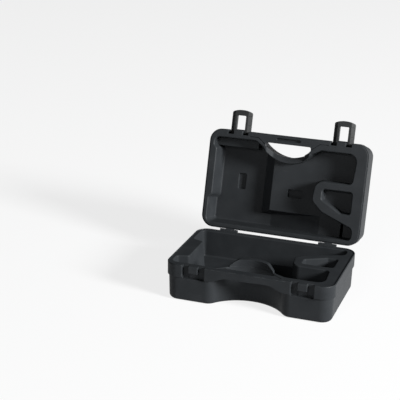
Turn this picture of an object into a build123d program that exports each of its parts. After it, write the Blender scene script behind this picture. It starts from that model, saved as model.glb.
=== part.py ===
from build123d import *
import math
import os

os.makedirs("parts", exist_ok=True)

# Overall sizes of the case, in millimetres. The base stands on Z = 0, X runs along the long side
# and the handle side faces -Y.
LENGTH = 400.0
WIDTH = 245.0
HALF_HEIGHT = 90.5
CORNER_RADIUS = 30.0
BASE_SKIN = 2.8
LID_SKIN = 2.0
RIM_SKIN = 3.0
WALL_DRAFT = 1.5
FLOOR_ROUND = 9.0
OPEN_ANGLE = 106.0

# Two halves meet with a hairline gap, and the hinge axis lies in the middle of it.
PARTING_GAP = 0.4
HINGE_OUT = 4.6

# The band is the proud strip round each rim.
BAND_HEIGHT = 30.0
BAND_STEP = 2.5

# Handle: a bar across the mouth of a round bay in the front wall.
BAR_WIDTH = 21.0
BAR_HEIGHT = 17.0
ARCH_SHOULDER = 0.55
ARCH_DROP = 0.8
HANDLE_HALF_LENGTH = 101.0
BAY_HALF_WIDTH = 86.0
BAY_DEPTH = 52.0
BAY_CORNER_RADIUS = 28.0
HOLE_HALF_WIDTH = 57.0
HOLE_ARC_HALF_WIDTH = 66.0
HOLE_CORNER_RADIUS = 4.0
HOLE_BACK_GAP = 0.5
WALL_ARC_HALF_WIDTH = 70.0
TONGUE_THICKNESS = 13.0
TONGUE_HEIGHT = 17.0
TONGUE_HALF_WIDTH = 52.0
TONGUE_END_HEIGHT = 3.0
TONGUE_END_RUN = 16.0
TONGUE_SHOULDER_HEIGHT = 15.5
TONGUE_SHOULDER_RADIUS = 10.0
TONGUE_CLEARANCE = 2.0
GRIP_SLOT_LENGTH = 61.0
GRIP_SLOT_WIDTH = 6.5
GRIP_SLOT_DEPTH = 5.0

# Rim details: a thin lip round the base's rim, the rebate that takes it in the lid, the soft
# mouth of every pocket, and the seam lines beside the handle.
LIP_INSET = 0.8
LIP_WIDTH = 1.8
LIP_HEIGHT = 1.2
LIP_CLEARANCE = 0.5
MOUTH_BEVEL = 1.8
MOUTH_BEVEL_ANGLE = 45.0
SEAM_WIDTH = 1.6
SEAM_DEPTH = 1.2
SEAM_FROM_FRONT = 12.0
SEAM_SHIFT = 5.0

# Latches.
LATCH_FROM_HANDLE = 28.5
WINDOW_WIDTH = 22.7
ARM_WIDTH = 14.0
LATCH_THICKNESS = 11.0
LATCH_PIVOT_HEIGHT = 22.0
LATCH_PIVOT_DEPTH = 3.0
CROSSBAR_EDGE = 8.0
CROSSBAR_CROWN = 6.0
CATCH_HEIGHT = 17.0
CATCH_CLEARANCE = 0.6
CATCH_LEAD = 2.0
LATCH_CORNER = 4.0
WINDOW_CORNER = 1.5
FACET_WIDTH = 8.5
FACET_DEPTH = 5.5
FACET_GROOVE_WIDTH = 1.6
FACET_GROOVE_DEPTH = 0.8
FACET_GROOVE_PLACE = 17.0
SLOT_DEPTH = 10.0
ARM_CLEARANCE = 1.0
LATCH_ZONE_HALF_WIDTH = 28.0
LATCH_PIN_DIAMETER = 3.0
LATCH_PIN_CLEARANCE = 0.05
LATCH_PIN_REACH = 5.0
LATCH_PIN_END_GAP = 0.3

# Hinges.
HINGE_FROM_END = 75.0
KNUCKLE_RADIUS = 4.2
LID_KNUCKLE_LENGTH = 18.0
BASE_KNUCKLE_LENGTH = 13.0
KNUCKLE_GAP = 0.3
HINGE_PIN_DIAMETER = 3.0
HINGE_PIN_CLEARANCE = 0.05
HINGE_PIN_INSET = 0.5
KNUCKLE_WEB = 22.0
KNUCKLE_WEB_ANGLE = 20.0
FIXED_PIN_CLEARANCE = 0.01

# How far a cut runs past the surface it opens, and how far an added piece is rooted in its wall.
OVERRUN = 1.0
ROOT = 0.5

# Pockets. Depths are measured from the rim.
POCKET_DRAFT = 4.5
POCKET_FLOOR_ROUND = 4.0
POCKET_CORNER = 12.0
RIM_LEFT = 12.0
RIM_RIGHT = 21.0
RIM_FRONT = 20.0
RIM_REAR = 12.0
SLANT_START = 82.0
SLANT_END = 46.0
SLANT_DEPTH = 44.0
RIGHT_EDGE_STEP = 6.0
RIGHT_CORNER = 20.0
BOSS_CORNER = 8.0
BOSS_SLOPE = 9.0
LID_BOSS_WIDTH = 8.0
LID_BOSS_FRONT = 40.0
LID_BOSS_REAR = 172.0
BASE_BOSS_WIDTH = 28.0
BASE_BOSS_FRONT = 54.0
BASE_BOSS_REAR = 170.0

# The ring on the right and its small pocket, measured in from the right and front edges. Its tail
# is measured from the rear edge.
RING_FRONT = 99.0
RING_LENGTH = 121.0
RING_LEAN = 6.0
RING_MIDDLE = 148.0
RING_SHOULDER = 100.0
RING_REAR = 173.0
RING_TAIL = 41.0
RING_CORNER = 20.0
RING_WALL = 18.0
RING_WALL_RIGHT = 29.0
RING_POCKET_REAR = 171.0
RING_POCKET_END = 24.0
RING_POCKET_SLANT = 143.0
RING_POCKET_CORNER = 7.0
RING_POCKET_DEPTH = 26.0

# Floors. The pocket's right-hand part is shallower than its left, with sloping steps between.
LID_STEP_DEPTH = 32.0
LID_DEEP_DEPTH = 56.0
BASE_STEP_DEPTH = 44.0
BASE_DEEP_DEPTH = 66.0
STEP_LEFT = 37.0
STEP_REAR = 187.0
STEP_SLOPE = 26.0
STEP_REAR_SLOPE = 12.0
RAMP_END = 92.0
CHANNEL_START = 55.0
CHANNEL_DROP = 8.0
LEDGE_DEPTH = 25.0
LEDGE_REAR = 41.0
LEDGE_RIGHT = 80.0
BASE_STEP_RIGHT = 90.0

# Small locating recesses in the lid's floors.
KEY_LENGTH = 38.0
KEY_WIDTH = 20.0
KEY_DEPTH = 12.0
KEY_CORNER = 4.0
KEY_X = 23.0
KEY_FROM_FRONT = 140.0
SIDE_KEY_DEPTH = 6.0
SIDE_KEY_LENGTH = 40.0
SIDE_KEY_X = 121.0
SIDE_KEY_FROM_FRONT = 126.0

# Outer faces: a fine groove frames the panel, and pairs of shallow flutes cross it.
FRAME_INSET = 26.0
FRAME_WIDTH = 2.0
FRAME_DEPTH = 1.0
FLUTE_LENGTH = 120.0
FLUTE_WIDTH = 5.0
FLUTE_DEPTH = 1.0
FLUTE_SPACING = 12.0
FLUTE_OFFSET = 62.0
FLUTE_FROM_REAR = 88.0

LEFT = -LENGTH / 2
RIGHT = LENGTH / 2
FRONT = -WIDTH / 2
REAR = WIDTH / 2

# The hinge axis, seen from a rim, and the middle of each hinge.
HINGE_OFFSET = LENGTH / 2 - HINGE_FROM_END
AXIS_Y = REAR + HINGE_OUT
AXIS_Z = PARTING_GAP / 2

# The latches: their pin's place on the lid, how far they reach past it, and the slots they lie in.
LATCH_OFFSET = HANDLE_HALF_LENGTH + LATCH_FROM_HANDLE
PIVOT_Y = FRONT + LATCH_PIVOT_DEPTH
PIVOT_Z = -LATCH_PIVOT_HEIGHT
CATCH_HALF_WIDTH = WINDOW_WIDTH / 2 - CATCH_CLEARANCE
LATCH_HALF_WIDTH = WINDOW_WIDTH / 2 + ARM_WIDTH
WINDOW_REACH = LATCH_PIVOT_HEIGHT + PARTING_GAP + CATCH_HEIGHT + CATCH_CLEARANCE
LATCH_REACH = WINDOW_REACH + CROSSBAR_EDGE + CROSSBAR_CROWN
LATCH_PIN_HALF = WINDOW_WIDTH / 2 + LATCH_PIN_REACH
LATCH_BACK = LATCH_PIVOT_DEPTH + LATCH_THICKNESS / 2
BASE_SLOT_LOW = LATCH_REACH - LATCH_PIVOT_HEIGHT - PARTING_GAP + ARM_CLEARANCE
LID_SLOT_LOW = LATCH_PIVOT_HEIGHT + LATCH_THICKNESS / 2 + ARM_CLEARANCE


def prism(outline, top, bottom, draft=0.0):
    """Solid below an outline, narrowing downwards by the draft."""
    return extrude(Pos(0, 0, top) * outline, amount=top - bottom, dir=(0, 0, -1), taper=draft)


def grown(outline, amount):
    """The outline moved outwards, or inwards when the amount is negative."""
    if amount == 0:
        return outline
    return offset(outline, amount=amount, kind=Kind.INTERSECTION)


def block(x_low, x_high, y_low, y_high, z_low, z_high):
    """Box between six planes."""
    centre = Pos((x_low + x_high) / 2, (y_low + y_high) / 2, (z_low + z_high) / 2)
    return centre * Box(x_high - x_low, y_high - y_low, z_high - z_low)


def rounded_polygon(corners):
    """Flat outline through corners given as x, y and the radius there."""
    face = make_face(Polyline(*[(x, y) for x, y, radius in corners], close=True))
    for x, y, radius in corners:
        if radius > 0:
            face = fillet(face.vertices().sort_by_distance((x, y, 0))[0], radius)
    return face


def rod(x_low, x_high, y, z, radius):
    """Round bar along X."""
    return Pos((x_low + x_high) / 2, y, z) * Rot(0, 90, 0) * Cylinder(radius, x_high - x_low)


def arc_radius(half_width, near, far):
    """Radius of the arc that passes half_width either side of the middle at depth near, and
    through the middle at depth far."""
    rise = far - near
    return (half_width**2 + rise**2) / (2 * rise)


def front_disc(radius, far):
    """Disc whose rear edge lies a distance behind the rim's front edge."""
    return Pos(0, FRONT + far - radius) * Circle(radius)


# Each half is modelled with its rim at Z = 0 and its pockets open upwards. A growth of zero gives
# a real surface, and a growth of one skin gives the surface of the hollow behind it.


def rim_outline(inset=0.0):
    return RectangleRounded(LENGTH - 2 * inset, WIDTH - 2 * inset, CORNER_RADIUS - inset)


def body_outline(inset):
    """Outline of the walls: a rounded rectangle with the handle bay taken out of its front."""
    radius = arc_radius(BAY_HALF_WIDTH, BAND_STEP, BAY_DEPTH)
    bayed = rim_outline(BAND_STEP) - front_disc(radius, BAY_DEPTH)
    mouth = bayed.vertices().filter_by(
        lambda v: v.Y < FRONT + BAND_STEP + ROOT and abs(v.X) < BAY_HALF_WIDTH + OVERRUN
    )
    return grown(fillet(mouth, BAY_CORNER_RADIUS), -inset)


HOLE_RADIUS = arc_radius(HOLE_ARC_HALF_WIDTH, BAR_WIDTH, BAY_DEPTH)
WALL_REAR = BAY_DEPTH + HOLE_BACK_GAP + TONGUE_THICKNESS
WALL_RADIUS = arc_radius(WALL_ARC_HALF_WIDTH, BAR_WIDTH, WALL_REAR)


def behind_bar(half_width):
    """Everything behind the grip bar, as far as half_width either side of the middle."""
    return Pos(0, FRONT + BAR_WIDTH + WIDTH / 2) * Rectangle(2 * half_width, WIDTH)


def hole_outline():
    """Half-moon finger hole behind the grip bar, cut off square at its ends."""
    moon = front_disc(HOLE_RADIUS, BAY_DEPTH) & behind_bar(HOLE_HALF_WIDTH)
    return fillet(moon.vertices(), HOLE_CORNER_RADIUS)


def under_arch(growth):
    """Everything below the arched underside of the handle."""
    low = -BAND_HEIGHT
    high = -BAR_HEIGHT + growth
    end = HANDLE_HALF_LENGTH
    arch = Spline(
        (-end, 0, low),
        (-end * ARCH_SHOULDER, 0, high - ARCH_DROP),
        (0, 0, high),
        (end * ARCH_SHOULDER, 0, high - ARCH_DROP),
        (end, 0, low),
        tangents=((1, 0, 0), (1, 0, 0)),
    )
    deep = low - BAND_HEIGHT
    sides = Polyline((end, 0, low), (end, 0, deep), (-end, 0, deep), (-end, 0, low))
    face = Pos(0, FRONT - BAND_STEP, 0) * make_face([arch, sides])
    return extrude(face, amount=BAY_DEPTH + 3 * BAND_STEP, dir=(0, 1, 0))


def outer_form(growth):
    """Outside of one half, or with a growth the space inside its skin."""
    top = -RIM_SKIN if growth else 0.0
    body = prism(body_outline(growth), top, growth - HALF_HEIGHT, WALL_DRAFT)
    body = fillet(body.faces().sort_by(Axis.Z)[0].edges(), FLOOR_ROUND - growth)
    band = prism(rim_outline(growth), top, growth - BAND_HEIGHT) - under_arch(growth)
    return body + band - prism(grown(hole_outline(), growth), OVERRUN, -BAND_HEIGHT - OVERRUN)


def pocket_outline(boss_width, boss_front, boss_rear):
    """Mouth of the big pocket: it slants in behind the handle, passes the boss on the left and
    goes round the ring on the right."""
    left = LEFT + RIM_LEFT
    right = RIGHT - RIM_RIGHT
    front = FRONT + RIM_FRONT
    rear = REAR - RIM_REAR
    outline = rounded_polygon(
        [
            (left, front, POCKET_CORNER),
            (-SLANT_START, front, POCKET_CORNER),
            (-SLANT_END, FRONT + SLANT_DEPTH, 0),
            (SLANT_END, FRONT + SLANT_DEPTH, 0),
            (SLANT_START, front + RIGHT_EDGE_STEP, POCKET_CORNER),
            (right - RIGHT_EDGE_STEP, front + RIGHT_EDGE_STEP, RIGHT_CORNER),
            (right - 2 * RIGHT_EDGE_STEP, FRONT + RING_FRONT, POCKET_CORNER),
            (RIGHT - RING_LENGTH, FRONT + RING_FRONT, RING_CORNER),
            (RIGHT - RING_LENGTH - RING_LEAN, FRONT + RING_MIDDLE, RING_CORNER),
            (RIGHT - RING_SHOULDER, FRONT + RING_REAR, RING_CORNER),
            (right, REAR - RING_TAIL, POCKET_CORNER),
            (right, rear, POCKET_CORNER),
            (left, rear, POCKET_CORNER),
            (left, boss_rear, BOSS_CORNER),
            (left + boss_width, boss_rear - BOSS_SLOPE, BOSS_CORNER),
            (left + boss_width, boss_front + BOSS_SLOPE, BOSS_CORNER),
            (left, boss_front, BOSS_CORNER),
        ]
    )
    return outline - front_disc(WALL_RADIUS, WALL_REAR)


def ring_outline():
    """Mouth of the small five-sided pocket inside the ring."""
    right = RIGHT - RING_WALL_RIGHT
    tip = RIGHT - RING_LENGTH + RING_WALL
    return rounded_polygon(
        [
            (tip, FRONT + RING_FRONT + RING_WALL, RING_POCKET_CORNER),
            (right, FRONT + RING_FRONT + RING_WALL, RING_POCKET_CORNER),
            (right, FRONT + RING_POCKET_REAR, RING_POCKET_CORNER),
            (right - RING_POCKET_END, FRONT + RING_POCKET_REAR, RING_POCKET_CORNER),
            (tip, FRONT + RING_POCKET_SLANT, RING_POCKET_CORNER),
        ]
    )


def hollow(outline, depth, growth):
    """Pocket of one depth. Only a real surface has a rounded floor and a bevelled mouth."""
    solid = prism(grown(outline, growth), 0, -depth - growth, POCKET_DRAFT)
    if growth:
        return solid
    solid = fillet(solid.faces().sort_by(Axis.Z)[0].edges(), POCKET_FLOOR_ROUND)
    return solid + prism(grown(outline, MOUTH_BEVEL), 0, -MOUTH_BEVEL, MOUTH_BEVEL_ANGLE)


def along_y(profile, y_low, y_high):
    """Solid with an outline in X and Z, between two planes across Y."""
    face = Pos(0, y_high, 0) * (Plane.XZ * profile)
    return extrude(face, amount=y_high - y_low, dir=(0, -1, 0))


def along_x(profile, x_low, x_high):
    """Solid with an outline in Y and Z, between two planes across X."""
    face = Pos(x_low, 0, 0) * (Plane.YZ * profile)
    return extrude(face, amount=x_high - x_low, dir=(1, 0, 0))


def shape_of(*points):
    return make_face(Polyline(*points, close=True))


def step(depth, deep, x_right, growth):
    """Raised floor with sloping left and rear sides."""
    top = -depth - growth
    foot = -deep - growth - OVERRUN
    left = -STEP_LEFT + growth
    rear = FRONT + STEP_REAR - growth
    share = (top - foot) / (deep - depth)
    across = along_y(
        shape_of((left, top), (x_right, top), (x_right, foot), (left - STEP_SLOPE * share, foot)),
        FRONT,
        REAR,
    )
    back = along_x(
        shape_of((FRONT, top), (rear, top), (rear + STEP_REAR_SLOPE * share, foot), (FRONT, foot)),
        LEFT,
        RIGHT,
    )
    return across & back


def lid_floor(growth):
    """What stands in the lid's deep pocket: the shallow floor, the ramp behind it with a lower
    strip at its right-hand end, and the ledge at the front of the left part."""
    deep = LID_DEEP_DEPTH + growth + OVERRUN
    level = -LID_STEP_DEPTH - growth
    strip = RIGHT - CHANNEL_START + growth
    ramp = shape_of(
        (-STEP_LEFT + growth, -LID_DEEP_DEPTH - growth),
        (RAMP_END, level),
        (strip, level),
        (strip + CHANNEL_DROP / 2, level - CHANNEL_DROP),
        (RIGHT, level - CHANNEL_DROP),
        (RIGHT, -deep),
        (-STEP_LEFT + growth, -deep),
    )
    ledge = block(
        LEFT, -LEDGE_RIGHT - growth, FRONT, FRONT + LEDGE_REAR - growth, -deep, -LEDGE_DEPTH - growth
    )
    main = step(LID_STEP_DEPTH, LID_DEEP_DEPTH, RIGHT, growth)
    return main + along_y(ramp, FRONT + STEP_REAR - STEP_REAR_SLOPE, REAR) + ledge


def base_floor(growth):
    """The base's shallow floor lies between its deep left and front right pockets."""
    return step(BASE_STEP_DEPTH, BASE_DEEP_DEPTH, BASE_STEP_RIGHT - growth, growth)


def lid_pockets(growth):
    outline = pocket_outline(LID_BOSS_WIDTH, FRONT + LID_BOSS_FRONT, FRONT + LID_BOSS_REAR)
    pockets = hollow(outline, LID_DEEP_DEPTH, growth) - lid_floor(growth)
    pockets += hollow(ring_outline(), RING_POCKET_DEPTH, growth)
    wide = RectangleRounded(KEY_LENGTH, KEY_WIDTH, KEY_CORNER)
    key = Pos(KEY_X, FRONT + KEY_FROM_FRONT) * wide
    key_bottom = -LID_STEP_DEPTH - KEY_DEPTH - growth
    pockets += prism(grown(key, growth), -LID_STEP_DEPTH + OVERRUN, key_bottom)
    tall = RectangleRounded(KEY_WIDTH, SIDE_KEY_LENGTH, KEY_CORNER)
    side_key = Pos(-SIDE_KEY_X, FRONT + SIDE_KEY_FROM_FRONT) * tall
    side_bottom = -LID_DEEP_DEPTH - SIDE_KEY_DEPTH - growth
    return pockets + prism(grown(side_key, growth), -LID_DEEP_DEPTH + OVERRUN, side_bottom)


def base_pockets(growth):
    outline = pocket_outline(BASE_BOSS_WIDTH, FRONT + BASE_BOSS_FRONT, FRONT + BASE_BOSS_REAR)
    pockets = hollow(outline, BASE_DEEP_DEPTH, growth) - base_floor(growth)
    return pockets + hollow(ring_outline(), RING_POCKET_DEPTH, growth)


def tongue_outline(clearance):
    """Plan of the curved wall behind the finger hole."""
    near = HOLE_BACK_GAP - clearance
    inner = front_disc(HOLE_RADIUS + near, BAY_DEPTH + near)
    outer = front_disc(WALL_RADIUS + clearance, WALL_REAR + clearance)
    return (outer - inner) & behind_bar(TONGUE_HALF_WIDTH + clearance)


def tongue(clearance):
    """Curved wall that stands above the base's rim: steep ends, round shoulders, a slight crown."""
    end = TONGUE_HALF_WIDTH + clearance
    shoulder = end - TONGUE_END_RUN
    low = TONGUE_END_HEIGHT + clearance
    high = TONGUE_SHOULDER_HEIGHT + clearance
    crown = ThreePointArc((-shoulder, high), (0, TONGUE_HEIGHT + clearance), (shoulder, high))
    sides = Polyline(
        (shoulder, high), (end, low), (end, -RIM_SKIN), (-end, -RIM_SKIN), (-end, low), (-shoulder, high)
    )
    profile = make_face([crown, sides])
    for hand in (-1, 1):
        corner = profile.vertices().sort_by_distance((hand * shoulder, high, 0))[0]
        profile = fillet(corner, TONGUE_SHOULDER_RADIUS)
    wall = prism(tongue_outline(clearance), TONGUE_HEIGHT + clearance + OVERRUN, -RIM_SKIN)
    return wall & along_y(profile, FRONT, REAR)


def tongue_recess(growth):
    """Lowered stretch of the lid's wall that the tongue closes into."""
    return mirror(tongue(TONGUE_CLEARANCE + growth), about=Plane.XY)


def latch_cuts(side, low, growth):
    """Flat behind one latch, with a slot for each of its arms."""
    middle = side * LATCH_OFFSET
    zone = LATCH_ZONE_HALF_WIDTH + growth
    outside = FRONT - BAND_STEP
    flat = FRONT + BAND_STEP + growth
    cuts = block(middle - zone, middle + zone, outside, flat, -BAND_HEIGHT - OVERRUN, OVERRUN)
    inner = CATCH_HALF_WIDTH - growth
    outer = LATCH_HALF_WIDTH + ARM_CLEARANCE + growth
    for hand in (-1, 1):
        near, far = sorted((middle + hand * inner, middle + hand * outer))
        cuts += block(near, far, outside, FRONT + SLOT_DEPTH + growth, -low - growth, OVERRUN)
    return cuts


def crossbar_recess(side, growth):
    """Shallow recess under the catch that the latch's crossbar lies in."""
    middle = side * LATCH_OFFSET
    half = LATCH_HALF_WIDTH + ARM_CLEARANCE + growth
    back = FRONT + LATCH_BACK + PARTING_GAP + growth
    low = -BASE_SLOT_LOW - growth
    return block(middle - half, middle + half, FRONT - BAND_STEP, back, low, -CATCH_HEIGHT)


def catch(side):
    """Block on the base that the latch snaps over, with a lead-in at its top."""
    middle = side * LATCH_OFFSET
    solid = block(
        middle - CATCH_HALF_WIDTH,
        middle + CATCH_HALF_WIDTH,
        FRONT,
        FRONT + SLOT_DEPTH,
        -CATCH_HEIGHT,
        0,
    )
    edge = solid.edges().filter_by(Axis.X).sort_by_distance((middle, FRONT, 0))[0]
    return chamfer(edge, CATCH_LEAD)


def latch_mount(side):
    """Block on the lid between the latch's arms, with the barrel that holds the pin."""
    middle = side * LATCH_OFFSET
    low = middle - CATCH_HALF_WIDTH
    high = middle + CATCH_HALF_WIDTH
    solid = block(low, high, FRONT, FRONT + SLOT_DEPTH, -BAND_HEIGHT, 0)
    return solid + rod(low, high, PIVOT_Y, PIVOT_Z, LATCH_THICKNESS / 2)


def grip_slot(growth):
    """Long recess in the lid's grip bar."""
    slot = SlotOverall(GRIP_SLOT_LENGTH + 2 * growth, GRIP_SLOT_WIDTH + 2 * growth)
    return prism(Pos(0, FRONT + BAR_WIDTH / 2) * slot, OVERRUN, -GRIP_SLOT_DEPTH - growth)


def ring_band(inner, outer, low, high, latch_zone):
    """Raised or cut strip round the rim, left out within latch_zone either side of each latch."""
    strip = prism(rim_outline(outer) - rim_outline(inner), high, low)
    rear = FRONT + BAR_WIDTH
    for side in (-1, 1):
        near = side * LATCH_OFFSET - latch_zone
        far = side * LATCH_OFFSET + latch_zone
        strip -= block(near, far, FRONT - OVERRUN, rear, low - OVERRUN, high + OVERRUN)
    return strip


def seams():
    """Fine grooves that part the handle from the rim either side of it."""
    cuts = Part()
    for hand in (-1, 1):
        line = Polyline(
            (hand * (HANDLE_HALF_LENGTH - SEAM_WIDTH), FRONT + SEAM_FROM_FRONT),
            (hand * (SLANT_START - SEAM_SHIFT), FRONT + SEAM_FROM_FRONT),
            (hand * (SLANT_END + SEAM_SHIFT), FRONT + SLANT_DEPTH - SEAM_FROM_FRONT),
        )
        cuts += prism(trace(line, SEAM_WIDTH), OVERRUN, -SEAM_DEPTH)
    return cuts


def face_grooves():
    """Framing groove and flutes on the outer face."""
    frame = grown(body_outline(0), -FRAME_INSET)
    below = -HALF_HEIGHT - OVERRUN
    cuts = prism(frame - grown(frame, -FRAME_WIDTH), FRAME_DEPTH - HALF_HEIGHT, below)
    for hand in (-1, 1):
        for pair in (-0.5, 0.5):
            x = hand * FLUTE_OFFSET + pair * FLUTE_SPACING
            flute = Pos(x, REAR - FLUTE_FROM_REAR) * Rot(0, 0, 90) * SlotOverall(FLUTE_LENGTH, FLUTE_WIDTH)
            cuts += prism(flute, FLUTE_DEPTH - HALF_HEIGHT, below)
    return cuts


def knuckle(x_low, x_high):
    """Hinge barrel with the sloping web that carries it on the rear of the band."""
    angle = math.radians(KNUCKLE_WEB_ANGLE)
    meets_y = AXIS_Y + KNUCKLE_RADIUS * math.cos(angle)
    meets_z = AXIS_Z - KNUCKLE_RADIUS * math.sin(angle)
    root = REAR - BAND_STEP
    web = shape_of((root, -AXIS_Z), (AXIS_Y, -AXIS_Z), (meets_y, meets_z), (root, -KNUCKLE_WEB))
    return along_x(web, x_low, x_high) + rod(x_low, x_high, AXIS_Y, AXIS_Z, KNUCKLE_RADIUS)


def base_knuckles():
    solid = Part()
    for side in (-1, 1):
        for hand in (-1, 1):
            near = LID_KNUCKLE_LENGTH / 2 + KNUCKLE_GAP
            ends = sorted((hand * near, hand * (near + BASE_KNUCKLE_LENGTH)))
            solid += knuckle(side * HINGE_OFFSET + ends[0], side * HINGE_OFFSET + ends[1])
    return solid


def lid_knuckles():
    solid = Part()
    for side in (-1, 1):
        middle = side * HINGE_OFFSET
        solid += knuckle(middle - LID_KNUCKLE_LENGTH / 2, middle + LID_KNUCKLE_LENGTH / 2)
    return solid


def hinge_bores(radius):
    half = LID_KNUCKLE_LENGTH / 2 + KNUCKLE_GAP + BASE_KNUCKLE_LENGTH + OVERRUN
    cuts = Part()
    for side in (-1, 1):
        cuts += rod(side * HINGE_OFFSET - half, side * HINGE_OFFSET + half, AXIS_Y, AXIS_Z, radius)
    return cuts


def base_shell():
    shell = outer_form(0) - base_pockets(0)
    inside = outer_form(BASE_SKIN) - base_pockets(BASE_SKIN)
    for side in (-1, 1):
        shell -= latch_cuts(side, BASE_SLOT_LOW, 0) + crossbar_recess(side, 0)
        inside -= latch_cuts(side, BASE_SLOT_LOW, BASE_SKIN) + crossbar_recess(side, BASE_SKIN)
    shell = shell - inside - face_grooves() - seams()
    shell += catch(-1) + catch(1) + tongue(0) + base_knuckles()
    lip_end = LATCH_ZONE_HALF_WIDTH + LIP_CLEARANCE
    shell += ring_band(LIP_INSET + LIP_WIDTH, LIP_INSET, -ROOT, LIP_HEIGHT, lip_end)
    return shell - hinge_bores(HINGE_PIN_DIAMETER / 2 + FIXED_PIN_CLEARANCE)


def lid_shell():
    shell = outer_form(0) - lid_pockets(0) - tongue_recess(0)
    inside = outer_form(LID_SKIN) - lid_pockets(LID_SKIN) - tongue_recess(LID_SKIN)
    for side in (-1, 1):
        shell -= latch_cuts(side, LID_SLOT_LOW, 0)
        inside -= latch_cuts(side, LID_SLOT_LOW, LID_SKIN)
    shell -= grip_slot(0)
    inside -= grip_slot(LID_SKIN)
    shell = shell - inside - face_grooves() - seams()
    shell += latch_mount(-1) + latch_mount(1) + lid_knuckles()
    rebate = LIP_INSET + LIP_WIDTH + LIP_CLEARANCE
    floor = -LIP_HEIGHT - LIP_CLEARANCE + PARTING_GAP
    shell -= ring_band(rebate, -OVERRUN, floor, OVERRUN, LATCH_ZONE_HALF_WIDTH)
    for side in (-1, 1):
        middle = side * LATCH_OFFSET
        bore = LATCH_PIN_DIAMETER / 2 + FIXED_PIN_CLEARANCE
        shell -= rod(middle - LATCH_HALF_WIDTH, middle + LATCH_HALF_WIDTH, PIVOT_Y, PIVOT_Z, bore)
    return shell - hinge_bores(HINGE_PIN_DIAMETER / 2 + HINGE_PIN_CLEARANCE)


def facet(hand, growth, y_low, y_high):
    """Wedge that slants the outer edge of one of the latch's arms."""
    half = LATCH_HALF_WIDTH
    top = LATCH_THICKNESS / 2
    near = half - FACET_WIDTH - growth
    low = top - FACET_DEPTH - growth
    corners = (
        (near, top),
        (half, low),
        (half + OVERRUN, low),
        (half + OVERRUN, top + OVERRUN),
        (near, top + OVERRUN),
    )
    return along_y(shape_of(*[(hand * x, z) for x, z in corners]), y_low, y_high)


def latch(side):
    """Snap frame: two faceted arms sprung over the pin's ends, and an arched crossbar."""
    middle = side * LATCH_OFFSET
    half = LATCH_HALF_WIDTH
    inner = WINDOW_WIDTH / 2
    window_edge = -WINDOW_REACH
    shoulder = window_edge - CROSSBAR_EDGE
    crown = ThreePointArc((half, shoulder), (0, shoulder - CROSSBAR_CROWN), (-half, shoulder))
    sides = Polyline(
        (-half, shoulder),
        (-half, 0),
        (-inner, 0),
        (-inner, window_edge),
        (inner, window_edge),
        (inner, 0),
        (half, 0),
        (half, shoulder),
    )
    face = make_face([crown, sides])
    face = fillet(face.vertices().group_by(Axis.Y)[0], LATCH_CORNER)
    window = face.vertices().sort_by_distance((inner, window_edge, 0))[0:1]
    window += face.vertices().sort_by_distance((-inner, window_edge, 0))[0:1]
    face = fillet(window, WINDOW_CORNER)
    solid = extrude(Pos(0, 0, -LATCH_THICKNESS / 2) * face, amount=LATCH_THICKNESS)
    for hand in (-1, 1):
        ends = sorted((hand * inner, hand * half))
        solid += rod(ends[0], ends[1], 0, 0, LATCH_THICKNESS / 2)
        solid -= facet(hand, 0, -LATCH_REACH - OVERRUN, LATCH_THICKNESS / 2 + OVERRUN)
        for place in (WINDOW_REACH, FACET_GROOVE_PLACE):
            solid -= facet(hand, FACET_GROOVE_DEPTH, -place, FACET_GROOVE_WIDTH - place)
    bore = LATCH_PIN_HALF + LATCH_PIN_END_GAP
    solid -= rod(-bore, bore, 0, 0, LATCH_PIN_DIAMETER / 2 + LATCH_PIN_CLEARANCE)
    return Pos(middle, PIVOT_Y, PIVOT_Z) * solid


def latch_pin(side):
    middle = side * LATCH_OFFSET
    return rod(
        middle - LATCH_PIN_HALF, middle + LATCH_PIN_HALF, PIVOT_Y, PIVOT_Z, LATCH_PIN_DIAMETER / 2
    )


def hinge_pin(side):
    half = LID_KNUCKLE_LENGTH / 2 + KNUCKLE_GAP + BASE_KNUCKLE_LENGTH - HINGE_PIN_INSET
    middle = side * HINGE_OFFSET
    return rod(middle - half, middle + half, AXIS_Y, AXIS_Z, HINGE_PIN_DIAMETER / 2)


def on_base(solid):
    return Pos(0, 0, HALF_HEIGHT) * solid


def on_lid(solid):
    """Turn a half over, set it on the base and swing it open about the hinge axis."""
    closed = Pos(0, 0, PARTING_GAP) * mirror(solid, about=Plane.XY)
    opened = Pos(0, AXIS_Y, AXIS_Z) * Rot(-OPEN_ANGLE, 0, 0) * Pos(0, -AXIS_Y, -AXIS_Z) * closed
    return on_base(opened)


nodes = {
    "base_shell": on_base(base_shell()),
    "lid_shell": on_lid(lid_shell()),
}
for side, name in ((-1, "left"), (1, "right")):
    nodes["latch_" + name] = on_lid(latch(side))
    nodes["latch_pin_" + name] = on_lid(latch_pin(side))
    nodes["hinge_pin_" + name] = on_base(hinge_pin(side))

for name, solid in nodes.items():
    export_step(solid, "parts/" + name + ".step")
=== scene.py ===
import bpy
from mathutils import Matrix, Vector


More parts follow.
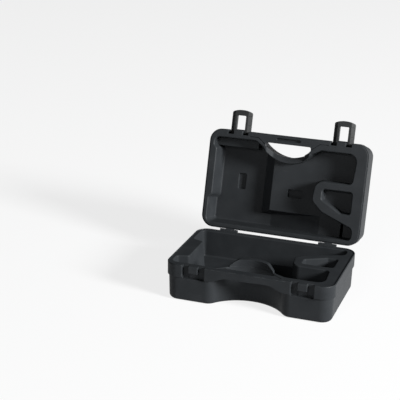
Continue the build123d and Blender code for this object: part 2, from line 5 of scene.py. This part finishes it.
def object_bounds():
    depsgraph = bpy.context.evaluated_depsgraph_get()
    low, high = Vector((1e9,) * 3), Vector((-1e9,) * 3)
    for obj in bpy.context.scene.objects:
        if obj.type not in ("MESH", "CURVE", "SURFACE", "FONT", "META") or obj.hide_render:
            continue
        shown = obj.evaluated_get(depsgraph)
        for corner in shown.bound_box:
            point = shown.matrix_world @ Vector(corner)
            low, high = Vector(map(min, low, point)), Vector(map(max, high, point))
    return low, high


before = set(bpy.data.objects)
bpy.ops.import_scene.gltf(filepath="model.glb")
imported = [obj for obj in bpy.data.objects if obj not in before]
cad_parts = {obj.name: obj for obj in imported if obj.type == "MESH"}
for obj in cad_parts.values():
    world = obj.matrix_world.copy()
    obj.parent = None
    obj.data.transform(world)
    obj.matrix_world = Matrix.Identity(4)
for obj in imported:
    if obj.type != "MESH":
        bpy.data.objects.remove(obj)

cad_low, cad_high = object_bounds()


# Lower half of the case. A blow moulding in black polyethylene with a fine grain, whose skins
# are a little uneven and whose edges are soft, slightly polished by handling and painted paler as
# a painted highlight. It is one piece with its grip bar, its two catches and its hinge knuckles,
# and stands on its flat underside.
class Shade:
    """Output of a material's node. Sums and products with it add Math nodes."""

    def __init__(self, tree, socket=None):
        self.tree = tree
        self.socket = socket

    def node(self, kind, settings=None, sockets=None, output=0):
        """Adds a node: its settings first, then the values or links of its sockets."""
        made = self.tree.nodes.new(kind)
        for name, value in (settings or {}).items():
            setattr(made, name, value)
        for name, value in (sockets or {}).items():
            if isinstance(value, Shade):
                self.tree.links.new(value.socket, made.inputs[name])
            else:
                made.inputs[name].default_value = value
        return Shade(self.tree, made.outputs[output])

    def maths(self, operation, first, second):
        return self.node("ShaderNodeMath", {"operation": operation}, {0: first, 1: second})

    def __add__(self, other):
        return self.maths("ADD", self, other)

    def __radd__(self, other):
        return self.maths("ADD", other, self)

    def __sub__(self, other):
        return self.maths("SUBTRACT", self, other)

    def __rsub__(self, other):
        return self.maths("SUBTRACT", other, self)

    def __mul__(self, other):
        return self.maths("MULTIPLY", self, other)

    def __rmul__(self, other):
        return self.maths("MULTIPLY", other, self)

    def between(self, low, high):
        """Nothing below low, all above high, and a soft rise from one to the other."""
        sockets = {"Value": self, "From Min": low, "From Max": high}
        return self.node("ShaderNodeMapRange", {"interpolation_type": "SMOOTHSTEP"}, sockets)


def grain(place, size, detail=2.0):
    """Uneven pattern from 0 to 1 whose lumps are size metres across."""
    sockets = {"Vector": place, "Scale": 1 / size, "Detail": detail}
    return place.node("ShaderNodeTexNoise", None, sockets)


def blend(start, share, first, second):
    """Colour that goes from first to second as share goes from 0 to 1."""
    sockets = {"Factor": share, "A": first, "B": second}
    return start.node("ShaderNodeMix", {"data_type": "RGBA"}, sockets, "Result")


PLASTIC_IOR = 1.49
PATCH_SIZE = 0.045
EDGE_WEAR_AND_HIGHLIGHT_SIZE = 0.012
MOTTLE_SIZE = 0.006
PEBBLE_SIZE = 0.0011
PIT_SIZE = 0.0016
WAVE_SIZE = 0.05
SCRATCH_SIZE = 0.05
SCRATCH_TURN = (0.4, 0.2, 0.7)
SCRATCH_STRETCH = (1, 14, 14)
GRAIN_HEIGHT = 0.00005
WAVE_HEIGHT = 0.0009
EDGE_SAMPLES = 8
EDGE_BAND = (0.01, 0.12)
EDGE_WEAR_AND_HIGHLIGHT_BAND = (0.45, 0.7)
SCRATCH_BAND = (0.715, 0.73)
SCRATCHED_PATCHES = (0.5, 0.65)
PATCH_PALENESS = 0.35
# Paleness of the edge mask: part real edge wear, part painted highlight along the edges.
EDGE_WEAR_AND_HIGHLIGHT_PALENESS = 0.5
MARK_PALENESS = 0.25
PATCH_ROUGHNESS = 0.12
MOTTLE_ROUGHNESS = 0.08
RUB_POLISH = 0.08
MARK_POLISH = 0.05


def moulded_plastic(name, colour, scuff_and_highlight_colour, edge_radius, roughness, shine):
    """Black plastic out of a grained mould: soft edges, uneven skins, light rubbing, and edges
    painted paler as a painted highlight.
    """
    material = bpy.data.materials.new(name)
    material.use_nodes = True
    tree = material.node_tree
    start = Shade(tree)
    place = start.node("ShaderNodeTexCoord", output="Object")

    soft_edge = start.node("ShaderNodeBevel", {"samples": EDGE_SAMPLES}, {"Radius": edge_radius})
    flat = start.node("ShaderNodeNewGeometry", output="Normal")
    facing = {0: soft_edge, 1: flat}
    along = start.node("ShaderNodeVectorMath", {"operation": "DOT_PRODUCT"}, facing, "Value")
    edge = (1 - along).between(*EDGE_BAND)

    patches = grain(place, PATCH_SIZE, 3.0)
    # Edge mask broken up by noise: real rubbing on the edges, and also a painted highlight
    # painted pale into the colour.
    worn_and_highlit_edge = edge * grain(place, EDGE_WEAR_AND_HIGHLIGHT_SIZE, 4.0).between(*EDGE_WEAR_AND_HIGHLIGHT_BAND)
    cells = {"Vector": place, "Scale": 1 / PEBBLE_SIZE}
    pebbles = start.node("ShaderNodeTexVoronoi", None, cells, "Distance")
    pulled = {"Vector": place, "Rotation": SCRATCH_TURN, "Scale": SCRATCH_STRETCH}
    stretched = start.node("ShaderNodeMapping", {"vector_type": "POINT"}, pulled)
    scratches = grain(stretched, SCRATCH_SIZE, 1.0).between(*SCRATCH_BAND)
    marks = scratches * patches.between(*SCRATCHED_PATCHES)

    pale = patches * PATCH_PALENESS + worn_and_highlit_edge * EDGE_WEAR_AND_HIGHLIGHT_PALENESS + marks * MARK_PALENESS
    tint = blend(start, pale, colour, scuff_and_highlight_colour)
    mottle = (grain(place, MOTTLE_SIZE) - 0.5) * MOTTLE_ROUGHNESS
    uneven = (patches - 0.5) * PATCH_ROUGHNESS + mottle
    worn = roughness + uneven - worn_and_highlit_edge * RUB_POLISH - marks * MARK_POLISH
    fine = pebbles * GRAIN_HEIGHT + grain(place, PIT_SIZE) * GRAIN_HEIGHT
    relief = fine + grain(place, WAVE_SIZE, 1.0) * WAVE_HEIGHT
    heights = {"Strength": 1.0, "Distance": 1.0, "Height": relief, "Normal": soft_edge}
    bump = start.node("ShaderNodeBump", None, heights)

    surface = tree.nodes["Principled BSDF"]
    surface.inputs["IOR"].default_value = PLASTIC_IOR
    surface.inputs["Specular IOR Level"].default_value = shine
    for socket, value in (("Base Color", tint), ("Roughness", worn), ("Normal", bump)):
        tree.links.new(value.socket, surface.inputs[socket])
    return material


def finished(node, material):
    """Gives a carried-over solid its material."""
    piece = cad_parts[node]
    piece.data.materials.clear()
    piece.data.materials.append(material)


SHELL_BLACK = (0.0112, 0.0127, 0.0142, 1)
# Pale colour for scuffs, random patches and the painted highlight on the edges.
SHELL_SCUFF_AND_HIGHLIGHT = (0.042, 0.045, 0.048, 1)
SHELL_EDGE = 0.0016
SHELL_ROUGHNESS = 0.45
SHELL_SHINE = 0.07
shell_look = (SHELL_BLACK, SHELL_SCUFF_AND_HIGHLIGHT, SHELL_EDGE, SHELL_ROUGHNESS, SHELL_SHINE)
shell_plastic = moulded_plastic("grained_black_shell", *shell_look)
finished("base_shell", shell_plastic)


# Upper half of the case, moulded and grained like the lower one. It stands open at the rear,
# leaning back on its hinges, and shows its pockets, its finger hole and its grip bar.
finished("lid_shell", shell_plastic)


# Latches: two snap frames in a harder black plastic with a smoother face. Each has two arms, an
# arched crossbar and an open window, and swings on a pin held in the lid's front wall.
LATCH_BLACK = (0.0125, 0.0132, 0.0135, 1)
# Pale colour for scuffs, random patches and the painted highlight on the edges.
LATCH_SCUFF_AND_HIGHLIGHT = (0.04, 0.042, 0.043, 1)
LATCH_EDGE = 0.0011
LATCH_ROUGHNESS = 0.42
LATCH_SHINE = 0.1
latch_look = (LATCH_BLACK, LATCH_SCUFF_AND_HIGHLIGHT, LATCH_EDGE, LATCH_ROUGHNESS, LATCH_SHINE)
latch_plastic = moulded_plastic("smooth_black_latch", *latch_look)
for side in ("left", "right"):
    finished("latch_" + side, latch_plastic)


# Pins: plain drawn steel rod of one thickness, cut to length and pressed into the mouldings. The
# two shorter ones carry the latches and the two longer ones hold the halves together at the rear.
STEEL_BRIGHT = (0.56, 0.56, 0.57, 1)
STEEL_DULL = (0.36, 0.35, 0.34, 1)
LINE_SIZE = 0.0003
LINE_HEIGHT = 0.000004
LINE_STRETCH = (0.04, 1, 1)
BLOOM_SIZE = 0.008
BLOOM_BAND = (0.4, 0.75)
STEEL_ROUGHNESS = 0.25
LINE_ROUGHNESS = 0.2
BLOOM_ROUGHNESS = 0.1


def drawn_steel():
    """Bare steel with fine lines along the rod and a faint bloom."""
    material = bpy.data.materials.new("drawn_steel_pin")
    material.use_nodes = True
    tree = material.node_tree
    start = Shade(tree)
    place = start.node("ShaderNodeTexCoord", output="Object")
    drawn_out = {"Vector": place, "Scale": LINE_STRETCH}
    along_rod = start.node("ShaderNodeMapping", {"vector_type": "POINT"}, drawn_out)
    lines = grain(along_rod, LINE_SIZE, 3.0)
    bloom = grain(place, BLOOM_SIZE, 3.0)
    tint = blend(start, bloom.between(*BLOOM_BAND), STEEL_BRIGHT, STEEL_DULL)
    heights = {"Strength": 1.0, "Distance": 1.0, "Height": lines * LINE_HEIGHT}
    bump = start.node("ShaderNodeBump", None, heights)
    sheen = STEEL_ROUGHNESS + lines * LINE_ROUGHNESS + bloom * BLOOM_ROUGHNESS

    surface = tree.nodes["Principled BSDF"]
    surface.inputs["Metallic"].default_value = 1.0
    for socket, value in (("Base Color", tint), ("Roughness", sheen), ("Normal", bump)):
        tree.links.new(value.socket, surface.inputs[socket])
    return material


pin_steel = drawn_steel()
for side in ("left", "right"):
    finished("latch_pin_" + side, pin_steel)
    finished("hinge_pin_" + side, pin_steel)


# Studio floor: a plain pale sweep that the case stands on, bright where the camera sees it.
# It keeps the shadow of the case, since only a part of its paint glows.
FLOOR_HALF = 30.0
FLOOR_COLOUR = (0.62, 0.622, 0.625, 1)
FLOOR_ROUGHNESS = 0.9
FLOOR_LIFT = 0.8
floor_mesh = bpy.data.meshes.new("floor")
corners = [(x * FLOOR_HALF, y * FLOOR_HALF, 0) for x, y in ((-1, -1), (1, -1), (1, 1), (-1, 1))]
floor_mesh.from_pydata(corners, [], [(0, 1, 2, 3)])
floor = bpy.data.objects.new("floor", floor_mesh)
bpy.context.scene.collection.objects.link(floor)
floor_paint = bpy.data.materials.new("pale_floor")
floor_paint.use_nodes = True
floor_tree = floor_paint.node_tree

matt = floor_tree.nodes["Principled BSDF"]
matt.inputs["Base Color"].default_value = FLOOR_COLOUR
matt.inputs["Roughness"].default_value = FLOOR_ROUGHNESS
matt.inputs["Specular IOR Level"].default_value = 0.0
paint = Shade(floor_tree)
glow = paint.node("ShaderNodeEmission", None, {"Color": (1, 1, 1, 1), "Strength": 1.0})
seen = paint.node("ShaderNodeLightPath", output="Is Camera Ray")
for ray in ("Is Glossy Ray", "Is Transmission Ray"):
    seen = seen.maths("MAXIMUM", seen, seen.node("ShaderNodeLightPath", output=ray))
lifted = seen * FLOOR_LIFT
lit = Shade(floor_tree, matt.outputs["BSDF"])
mixed = lifted.node("ShaderNodeMixShader", None, {0: lifted, 1: lit, 2: glow})
floor_tree.links.new(mixed.socket, floor_tree.nodes["Material Output"].inputs["Surface"])
floor_mesh.materials.append(floor_paint)


# Light: a large soft box on the right and a little forward, a much weaker one in front, and a dim
# even surround. The floor stays white by its own paint.
SURROUND = 0.02
KEY_PLACE = (6.9, -1.9, 3.0)
KEY_SIZE = 2.0
KEY_POWER = 1900
FRONT_PLACE = (-0.6, -6.2, 3.2)
FRONT_SIZE = 2.4
FRONT_POWER = 120
world = bpy.data.worlds.new("surround")
bpy.context.scene.world = world
world.use_nodes = True
background = world.node_tree.nodes["Background"]
background.inputs["Color"].default_value = (1, 1, 1, 1)
background.inputs["Strength"].default_value = SURROUND


def soft_box(name, place, target, size, power):
    """Round lamp at place, turned towards target."""
    lamp = bpy.data.lights.new(name, "AREA")
    lamp.shape = "DISK"
    lamp.size = size
    lamp.energy = power
    holder = bpy.data.objects.new(name, lamp)
    bpy.context.scene.collection.objects.link(holder)
    holder.location = place
    aim = Vector(target) - Vector(place)
    holder.rotation_euler = aim.to_track_quat("-Z", "Y").to_euler()


middle = (cad_low + cad_high) / 2
soft_box("key_light", KEY_PLACE, middle, KEY_SIZE, KEY_POWER)
soft_box("front_light", FRONT_PLACE, middle, FRONT_SIZE, FRONT_POWER)


# Camera: a long lens a little right of the case's front, looking slightly down.
CAMERA_PLACE = (0.6903, -2.4091, 1.1293)
CAMERA_RIGHT = Vector((0.94125, 0.33733, 0.01588)).normalized()
CAMERA_AHEAD = Vector((-0.31237, 0.88753, -0.33871)).normalized()
CAMERA_LENS = 103.7
SENSOR_WIDTH = 36.0
view_up = CAMERA_RIGHT.cross(CAMERA_AHEAD).normalized()
lens = bpy.data.cameras.new("camera")
lens.sensor_width = SENSOR_WIDTH
lens.lens = CAMERA_LENS
camera = bpy.data.objects.new("camera", lens)
bpy.context.scene.collection.objects.link(camera)
turn = Matrix((CAMERA_RIGHT, view_up, -CAMERA_AHEAD)).transposed()
camera.matrix_world = Matrix.Translation(CAMERA_PLACE) @ turn.to_4x4()
bpy.context.scene.camera = camera
bpy.context.scene.view_settings.view_transform = "Standard"
